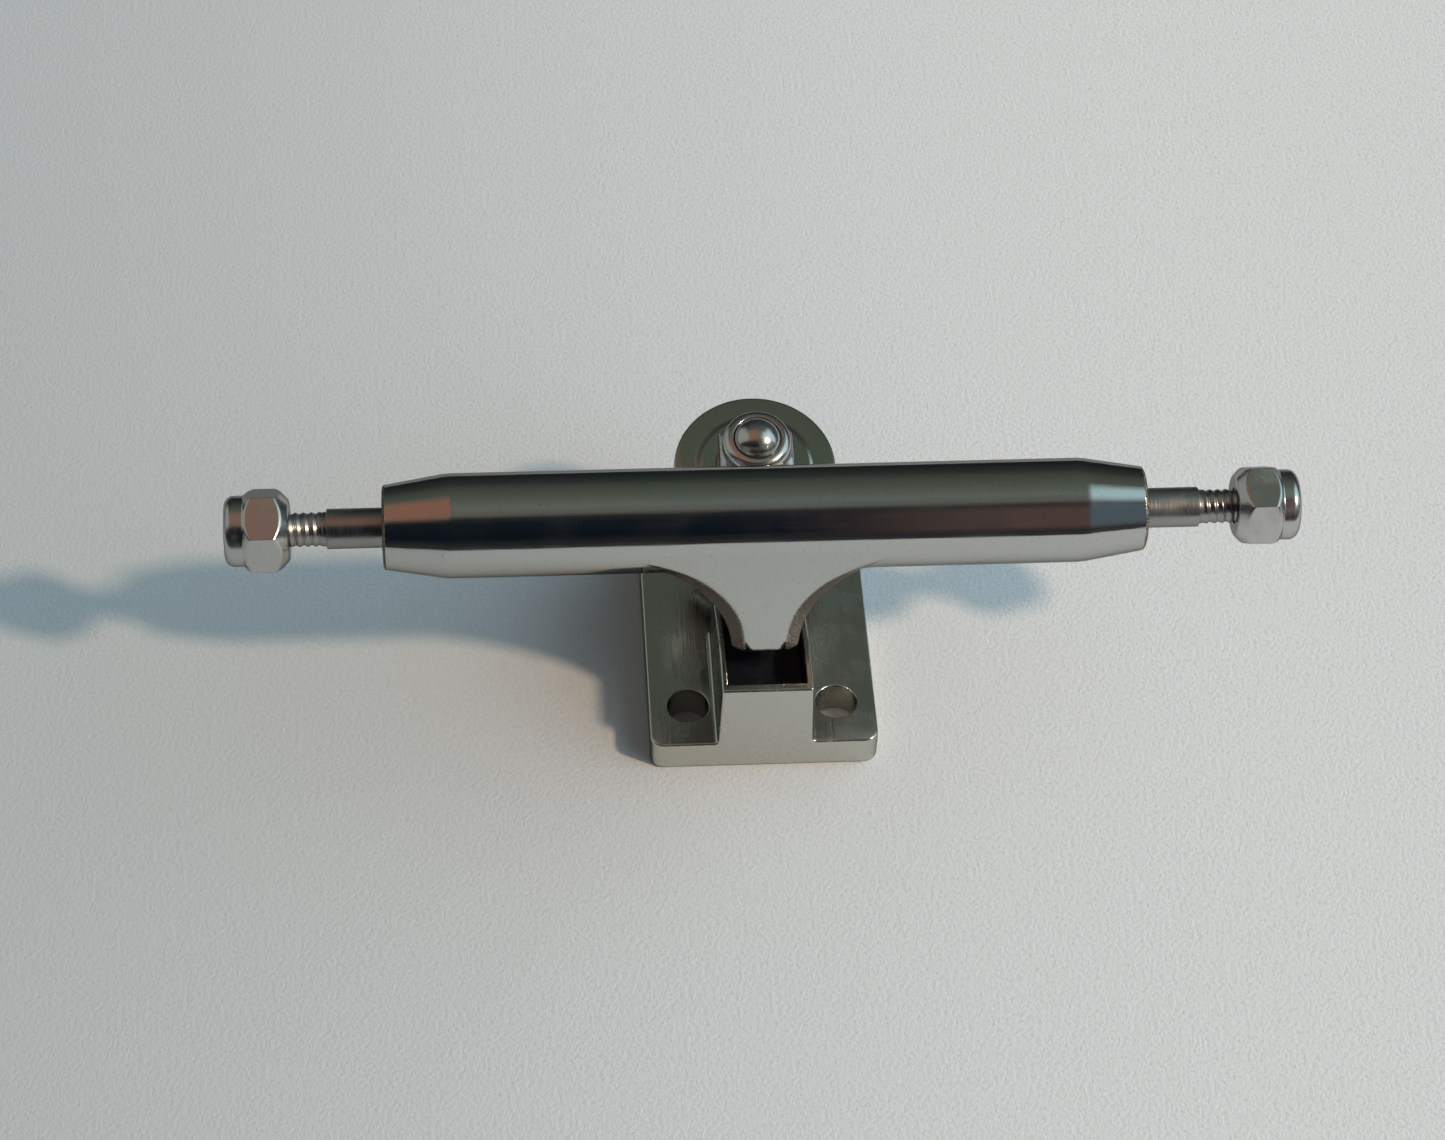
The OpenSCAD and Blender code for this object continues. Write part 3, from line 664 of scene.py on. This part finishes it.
def hanger_solid(x, y, z):
    """Distance to the hanger: beam, web with hollowed shoulders and bevelled flanks, ball, arm and ring."""
    side = np.abs(x)
    bar = np.hypot(y - axle_y, z - axle_z)
    lean = (beam_radius - beam_end_radius) / beam_taper
    taper = (bar - beam_radius + lean * (side - beam_half + beam_taper)) / math.hypot(1, lean)
    beam = meet(meet(bar - beam_radius, taper, seam_edge), side - beam_half, cast_edge)
    drop = np.maximum(swoop_top - z, 0) / (swoop_top - nose_z)
    swoop = nose_lean * (swoop_top - nose_z) * drop ** 2 / 2
    front = (web_front - swoop - y) / np.hypot(1, nose_lean * drop)
    back = below(y, z, (pivot.y + web_foot, web_bottom), (web_back, arm_top - arm_lap))
    out, rise = side - shoulder_foot - hollow_wide, np.maximum(z - hollow_z, 0)
    reach = np.hypot(out / hollow_wide, rise / hollow_tall)
    steepness = np.hypot(out / hollow_wide ** 2, rise / hollow_tall ** 2)
    hollow = (1 - reach) * reach / np.maximum(steepness, least_steep)
    hollow = meet(hollow, side - shoulder_foot - hollow_wide, web_edge)
    up = np.maximum(z - nose_z, 0)
    slope = flank_slope + flank_turning * up
    inset = flank_depth + flank_widening * up
    inset = inset + nose_narrowing * np.maximum(1 - up / nose_round, 0) ** 2
    flanks = (front + slope * (hollow + inset)) / np.hypot(1, slope)
    web = meet(meet(np.maximum(front, hollow), flanks, web_edge), y - web_back, cast_edge)
    web = meet(meet(web, -back, cast_edge), nose_z - z, web_edge)
    web = np.maximum(web, z - axle_z)
    cone = np.hypot(x, y - stub_y) - stub_radius - stub_lean * (z - stub_low)
    stub = meet(cone / math.hypot(1, stub_lean), between(z, stub_low, stub_top), web_edge)
    web = join(web, stub, stub_fillet)
    around = np.hypot(x, y - pivot.y)
    neck = np.maximum(np.hypot(around, np.minimum(z - pivot.z, 0)) - ball_radius, z - neck_top)
    under_top = below(y, z, (web_back - arm_lap, arm_top), beside_ring(-arm_reach, arm_end_half))
    under_bottom = below(y, z, (arm_front, arm_under), beside_ring(-arm_reach, -arm_end_half))
    arm = meet(meet(side - arm_half, under_top, cast_edge), -under_bottom, cast_edge)
    arm = np.maximum(np.maximum(arm, arm_front - y), y - beside_ring(-arm_reach, 0)[0])
    radius, height = round_pin(x, y, z)
    ring = meet(radius - ring_radius, np.abs(height) - ring_half, cast_edge)
    blending = np.clip((swoop_top - z - fillet_start) * fillet_growth, least_fillet, 1)
    body = join(beam, web, cast_edge * blending)
    body = join(body, neck, cast_edge)
    body = join(join(body, arm, arm_fillet), ring, arm_fillet)
    body = meet(body, ring_bore - radius, bore_edge)
    body = meet(body, -np.maximum(radius - seat_radius, ring_seat - np.abs(height)), seam_edge)
    return meet(body, axle_core_radius + press_gap - bar, seam_edge)


hanger = skin("hanger_casting", hanger_solid, hanger_low, hanger_high, 0.07)
hanger.data.materials.append(
    plated_metal(
        "plated_hanger",
        bright=(0.54, 0.54, 0.52),
        crevice_shade=(0.24, 0.24, 0.23),
        polish=0.04,
        smudged=0.1,
        stretch=(260, 8000, 8000),
        streak_depth=7e-7,
        smudge_scale=450,
        cast_rough=0.3,
    )
)
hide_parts("hanger")
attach(hanger, "hanger")

# Axle: one turned steel rod pressed through the beam.
# A plain seat for a wheel stands out at each end, and a thread for the lock nut beyond it.
axle_end, wheel_seat_radius, thread_radius = axle_high.x, 0.635, 0.545
seat_end = beam_half + 1.75
axle_thread_start, axle_groove_end, axle_rings_start = seat_end + 0.05, seat_end + 0.1, seat_end + 0.12
end_chamfer, shoulder_edge, end_edge = 0.14, 0.03, 0.04
half_outline = softened(
    [
        (axle_core_radius, 0),
        (axle_core_radius, beam_half),
        (wheel_seat_radius, beam_half),
        (wheel_seat_radius, seat_end),
        (thread_radius, seat_end),
        (thread_radius, axle_groove_end),
    ],
    shoulder_edge,
    closed=False,
)
thread_heights = np.arange(axle_rings_start, axle_end - end_chamfer, thread_step)
half_outline += [(thread_radius, height) for height in thread_heights]
half_outline += softened(
    [(thread_radius, axle_end - end_chamfer), (thread_radius - end_chamfer, axle_end), (0, axle_end)],
    end_edge,
    closed=False,
)
axle_outline = [(radius, -height) for radius, height in half_outline[:0:-1]] + half_outline


def axle_thread(radius, height, angle):
    """The same thread at both ends of the axle, each running away from the middle."""
    cut = cut_thread(axle_thread_start, axle_end)
    return cut(radius, np.abs(height), np.where(height > 0, angle, -angle))


along_axle = Matrix.Translation((0, axle_y * mm, axle_z * mm)) @ Matrix.Rotation(math.pi / 2, 4, "Y")
axle = turned("axle_rod", axle_outline, along_axle, thread=axle_thread, steps=96)
axle.data.materials.append(
    plated_metal(
        "turned_steel",
        bright=(0.36, 0.35, 0.34),
        crevice_shade=(0.14, 0.13, 0.12),
        polish=0.24,
        smudged=0.34,
        stretch=(16000, 800, 800),
        streak_depth=1.2e-6,
        smudge_scale=900,
    )
)
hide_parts("axle")
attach(axle, "hanger")

# Lock nuts: three pressed steel hexes, polished and plated, one on the kingpin and one on each axle end.
# A round collar is rolled over a ring of nylon, which grips the thread.
nut_flats, nut_collar, nut_turn_gap, nut_edge, nut_crease = 2.4, 0.6, 0.02, 0.04, 0.05
nut_face_radius, nut_collar_radius = nut_flats / 2 - 0.25, nut_flats / 2 - 0.08
nut_corner = nut_flats / 2 / math.cos(math.pi / 6)
nut_face_chamfer, nut_collar_chamfer, nut_lip, nut_roll = 0.42, 0.24, 0.2, 0.3
axle_nut_length, axle_nut_face = 2.03, seat_end + 1.16
left_nut_turn, right_nut_turn, pin_nut_turn, nut_cell = 36, 45, math.radians(30), 0.026
nylon_material = moulding(
    "nylon",
    colour=(0.72, 0.71, 0.66),
    pale=(0.8, 0.8, 0.76),
    sheen_rough=0.4,
    worn_rough=0.55,
    pebble=1e-6,
)


def nut_solid(length, rod_radius):
    """The solid of a lock nut that stands on its washer face at height zero."""
    hex_length = length - nut_collar
    nylon_radius = (rod_radius + nut_flats / 2) / 2
    flat_turns = (math.pi / 6, math.pi / 2, -math.pi / 6)

    def solid(x, y, z):
        radius = np.hypot(x, y)
        flats = [np.abs(x * math.cos(turn) + y * math.sin(turn)) for turn in flat_turns]
        body = np.maximum(np.maximum(flats[0], flats[1]), flats[2]) - nut_flats / 2
        face_lean = (nut_corner - nut_face_radius) / nut_face_chamfer
        face = (radius - nut_face_radius - z * face_lean) / math.hypot(1, face_lean)
        top_lean = (nut_corner - nut_collar_radius) / nut_collar_chamfer
        top = (radius - nut_collar_radius - (hex_length - z) * top_lean) / math.hypot(1, top_lean)
        body = meet(meet(body, face, nut_crease), top, nut_crease)
        body = meet(body, between(z, 0, hex_length), nut_edge)
        collar = meet(radius - nut_collar_radius, between(z, hex_length - nut_collar, length), nut_roll)
        body = join(body, collar, nut_crease)
        body = meet(body, rod_radius + nut_turn_gap - radius, nut_edge)
        nylon = np.maximum(
            radius - nylon_radius - nut_turn_gap,
            between(z, hex_length - nut_turn_gap, length - nut_lip + nut_turn_gap),
        )
        return np.maximum(body, -nylon)

    return solid


def axle_place(side, turn):
    """Where an axle nut stands, with a corner of its hex turned up from the front."""
    out = Matrix.Translation((0, axle_y * mm, axle_z * mm)) @ Matrix.Rotation(side * math.pi / 2, 4, "Y")
    spin = Matrix.Rotation(math.radians(-90 - side * turn), 4, "Z")
    return out @ Matrix.Translation((0, 0, axle_nut_face * mm)) @ spin


on_nut_seat = on_pin @ Matrix.Translation((0, 0, nut_seat * mm)) @ Matrix.Rotation(pin_nut_turn, 4, "Z")
for name, body, length, rod_radius, where in (
    ("kingpin_nut", "kingpin_nut", nut_length, pin_radius, on_nut_seat),
    ("axle_nut_left", "left_nut", axle_nut_length, thread_radius, axle_place(-1, left_nut_turn)),
    ("axle_nut_right", "right_nut", axle_nut_length, thread_radius, axle_place(1, right_nut_turn)),
):
    reach = nut_corner + nut_crease
    solid = nut_solid(length, rod_radius)
    nut = skin(name + "_hex", solid, (-reach, -reach, 0), (reach, reach, length), nut_cell, where)
    nut.data.materials.append(polished_steel)
    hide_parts(name)
    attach(nut, body)
    bottom, top = length - nut_collar, length - nut_lip
    outer, inner = (rod_radius + nut_flats / 2) / 2, rod_radius + nut_turn_gap
    corners = [(inner, bottom), (outer, bottom), (outer, top), (inner, top)]
    loop = softened(corners, nut_crease, closed=True)
    ring = turned(name + "_nylon", loop, where, closed=True, steps=64)
    ring.data.materials.append(nylon_material)
    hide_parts(name + "_insert")
    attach(ring, body + "_ring")

# Floor: a sheet of white drawing paper with a fine tooth, on which the truck stands.
# Its colour is painted lighter towards the lamp, a painted pool of light, and past the middle of the sheet
# it is painted dark for the rays the metal mirrors, a painted reflection of a dark table.
floor_half = 0.6
paper_painted_shade, paper_painted_light = (0.43, 0.447, 0.447), (0.65, 0.64, 0.63)
paper_mottle, painted_dark_reflection = (0.42, 0.42, 0.41), (0.03, 0.032, 0.036)
painted_shade_side, painted_light_side, sheet_edge, dark_reflection_start = -35 * mm, 20 * mm, 50 * mm, 75 * mm
tooth_scale, tooth_depth = 7000.0, 2.6e-5
floor_mesh = bpy.data.meshes.new("paper_floor")
floor_mesh.from_pydata(
    [(floor_half * x, floor_half * y, 0) for x, y in ((-1, -1), (1, -1), (1, 1), (-1, 1))],
    [],
    [(0, 1, 2, 3)],
)
floor = bpy.data.objects.new("paper_floor", floor_mesh)
bpy.context.collection.objects.link(floor)
paper = bpy.data.materials.new("drawing_paper")
paper.use_nodes = True
tree = paper.node_tree
shader = tree.nodes["Principled BSDF"]
shader.inputs["Roughness"].default_value = 0.9
shader.inputs["Specular IOR Level"].default_value = 0.1
place = add_node(tree, "TexCoord")
split = add_node(tree, "SeparateXYZ")
painted_light_tone = add_node(tree, "MapRange", interpolation_type="SMOOTHSTEP")
painted_light_tone.inputs["From Min"].default_value = painted_shade_side
painted_light_tone.inputs["From Max"].default_value = painted_light_side
tree.links.new(place.outputs["Object"], split.inputs["Vector"])
tree.links.new(split.outputs["X"], painted_light_tone.inputs["Value"])
# painted light: the paper's colour is lighter towards the lamp and darker away from it
toned = blend_colour(tree, painted_light_tone.outputs["Result"], paper_painted_shade, paper_painted_light)
tooth = add_node(tree, "TexNoise", in_Scale=tooth_scale, in_Detail=3.0, in_Roughness=0.65)
mottle = add_node(tree, "MapRange")
mottle.inputs["From Min"].default_value = 0.5
mottle.inputs["From Max"].default_value = -0.1
tree.links.new(tooth.outputs["Fac"], mottle.inputs["Value"])
toned = blend_colour(tree, mottle.outputs["Result"], toned, paper_mottle)
away = add_node(tree, "VectorMath", operation="LENGTH")
tree.links.new(place.outputs["Object"], away.inputs[0])
beyond = add_node(tree, "MapRange", interpolation_type="SMOOTHSTEP")
beyond.inputs["From Min"].default_value = sheet_edge
beyond.inputs["From Max"].default_value = dark_reflection_start
tree.links.new(away.outputs["Value"], beyond.inputs["Value"])
path = add_node(tree, "LightPath")
mirrored = add_node(tree, "Math", operation="MULTIPLY")
tree.links.new(beyond.outputs["Result"], mirrored.inputs[0])
tree.links.new(path.outputs["Is Glossy Ray"], mirrored.inputs[1])
# painted reflection: rays mirrored by the metal see the far paper painted dark
toned = blend_colour(tree, mirrored.outputs["Value"], toned, painted_dark_reflection)
tree.links.new(toned, shader.inputs["Base Color"])
relief = add_node(tree, "Bump", in_Strength=1.0, in_Distance=tooth_depth)
tree.links.new(place.outputs["Object"], tooth.inputs["Vector"])
tree.links.new(tooth.outputs["Fac"], relief.inputs["Height"])
tree.links.new(relief.outputs["Normal"], shader.inputs["Normal"])
floor.data.materials.append(paper)

# Light: a warm lamp from the right and in front, and cool daylight from low on the right.
# Bright metal mirrors a dim room: a ceiling that is palest in front and overhead,
# dark walls, and a few soft panels at the sides.
lamp_data = bpy.data.lights.new("warm_lamp", "SUN")
towards_lamp = Vector((1.02, -0.5, 1.0))
lamp_data.energy = 2.06
lamp_data.angle = math.radians(4.5)
lamp_data.color = (1.0, 0.76, 0.55)
lamp = bpy.data.objects.new("warm_lamp", lamp_data)
lamp.rotation_euler = towards_lamp.to_track_quat("Z", "Y").to_euler()
bpy.context.collection.objects.link(lamp)

world = bpy.data.worlds.new("room")
bpy.context.scene.world = world
world.use_nodes = True
tree = world.node_tree
room = tree.nodes["Background"]
room.inputs["Strength"].default_value = 1.0
dim_fill, cool_fill, pale_backdrop = (0.15, 0.155, 0.15), (2.2, 3.0, 3.5), (0.62, 0.63, 0.62)
fill_start, fill_end, panel_softness = 0.3, 0.8, 0.06
place = add_node(tree, "TexCoord")
split = add_node(tree, "SeparateXYZ")
flip = add_node(tree, "Math", operation="MULTIPLY")
flip.inputs[1].default_value = -1.0
turn = add_node(tree, "Math", operation="ARCTAN2")
share = add_node(tree, "Math", operation="DIVIDE")
share.inputs[1].default_value = math.pi
ceiling = add_node(tree, "ValToRGB")
ramp = ceiling.color_ramp
ramp.elements[0].position = 0.0
ramp.elements[0].color = (0.03, 0.03, 0.034, 1)
ramp.elements[1].position = 1.0
ramp.elements[1].color = (0.02, 0.024, 0.024, 1)
for position, colour in (
    (0.1, (0.005, 0.010, 0.016, 1)),
    (0.29, (0.011, 0.016, 0.024, 1)),
    (0.34, (0.03, 0.032, 0.033, 1)),
    (0.39, (0.155, 0.155, 0.14, 1)),
    (0.47, (0.175, 0.20, 0.182, 1)),
    (0.6, (0.12, 0.143, 0.116, 1)),
    (0.75, (0.078, 0.089, 0.078, 1)),
    (0.85, (0.036, 0.043, 0.041, 1)),
):
    ramp.elements.new(position).color = colour
tree.links.new(place.outputs["Generated"], split.inputs["Vector"])
tree.links.new(split.outputs["Y"], flip.inputs[0])
tree.links.new(split.outputs["Z"], turn.inputs[0])
tree.links.new(flip.outputs["Value"], turn.inputs[1])
tree.links.new(turn.outputs["Value"], share.inputs[0])
tree.links.new(share.outputs["Value"], ceiling.inputs["Fac"])


def fade(socket, start, end):
    """A soft step of a value between two places."""
    node = add_node(tree, "MapRange", interpolation_type="SMOOTHSTEP")
    node.inputs["From Min"].default_value = start
    node.inputs["From Max"].default_value = end
    tree.links.new(socket, node.inputs["Value"])
    return node.outputs["Result"]


mirrored = ceiling.outputs["Color"]
for side_start, side_end, low, high, colour in (
    (-0.035, -0.055, 0.36, 0.62, (0.34, 0.17, 0.12)),
    (0.07, 0.14, 0.04, 0.32, (0.12, 0.08, 0.072)),
    (0.28, 0.45, 0.04, 0.36, (0.11, 0.15, 0.18)),
    (0.28, 0.5, 0.40, 0.58, (0.6, 0.85, 0.92)),
    (0.5, 0.65, 0.38, 0.72, (0.6, 0.85, 0.92)),
    (-0.5, -0.7, 0.38, 1.05, (0.36, 0.40, 0.38)),
):
    masks = [
        fade(split.outputs["X"], side_start, side_end),
        fade(share.outputs["Value"], low - panel_softness, low + panel_softness),
        fade(share.outputs["Value"], high + panel_softness, high - panel_softness),
    ]
    both = add_node(tree, "Math", operation="MULTIPLY")
    tree.links.new(masks[0], both.inputs[0])
    tree.links.new(masks[1], both.inputs[1])
    card = add_node(tree, "Math", operation="MULTIPLY")
    tree.links.new(both.outputs["Value"], card.inputs[0])
    tree.links.new(masks[2], card.inputs[1])
    mirrored = blend_colour(tree, card.outputs["Value"], mirrored, colour)
path = add_node(tree, "LightPath")
seen = blend_colour(tree, fade(split.outputs["X"], fill_start, fill_end), dim_fill, cool_fill)
seen = blend_colour(tree, path.outputs["Is Camera Ray"], seen, pale_backdrop)
glossy = add_node(tree, "Mix", data_type="RGBA")
tree.links.new(path.outputs["Is Glossy Ray"], glossy.inputs["Factor"])
tree.links.new(seen, glossy.inputs[6])
tree.links.new(mirrored, glossy.inputs[7])
tree.links.new(glossy.outputs[2], room.inputs["Color"])

# Camera: at the photograph's place, about 13 cm away, above and in front of the pivot end.
# Its place and turns were fitted to the plate's edges, the screw holes and the nuts.
camera_data = bpy.data.cameras.new("camera")
camera_data.sensor_width = 36.0
camera_data.lens = 95.74
camera_data.clip_start = 0.005
camera_place = Vector((-8.65, -82.74, 98.02)) * mm
pitch, yaw, roll = math.radians(48.68), math.radians(-5.19), math.radians(2.38)
turn_about = Matrix.Rotation(yaw, 3, "Z")
ahead = turn_about @ Vector((0, math.cos(pitch), -math.sin(pitch)))
level_up = turn_about @ Vector((0, math.sin(pitch), math.cos(pitch)))
level_right = turn_about @ Vector((1, 0, 0))
right = level_right * math.cos(roll) + level_up * math.sin(roll)
up = level_up * math.cos(roll) - level_right * math.sin(roll)
camera = bpy.data.objects.new("camera", camera_data)
camera.matrix_world = Matrix.Translation(camera_place) @ Matrix([right, up, -ahead]).transposed().to_4x4()
bpy.context.collection.objects.link(camera)
bpy.context.scene.camera = camera
bpy.context.scene.view_settings.view_transform = "Standard"
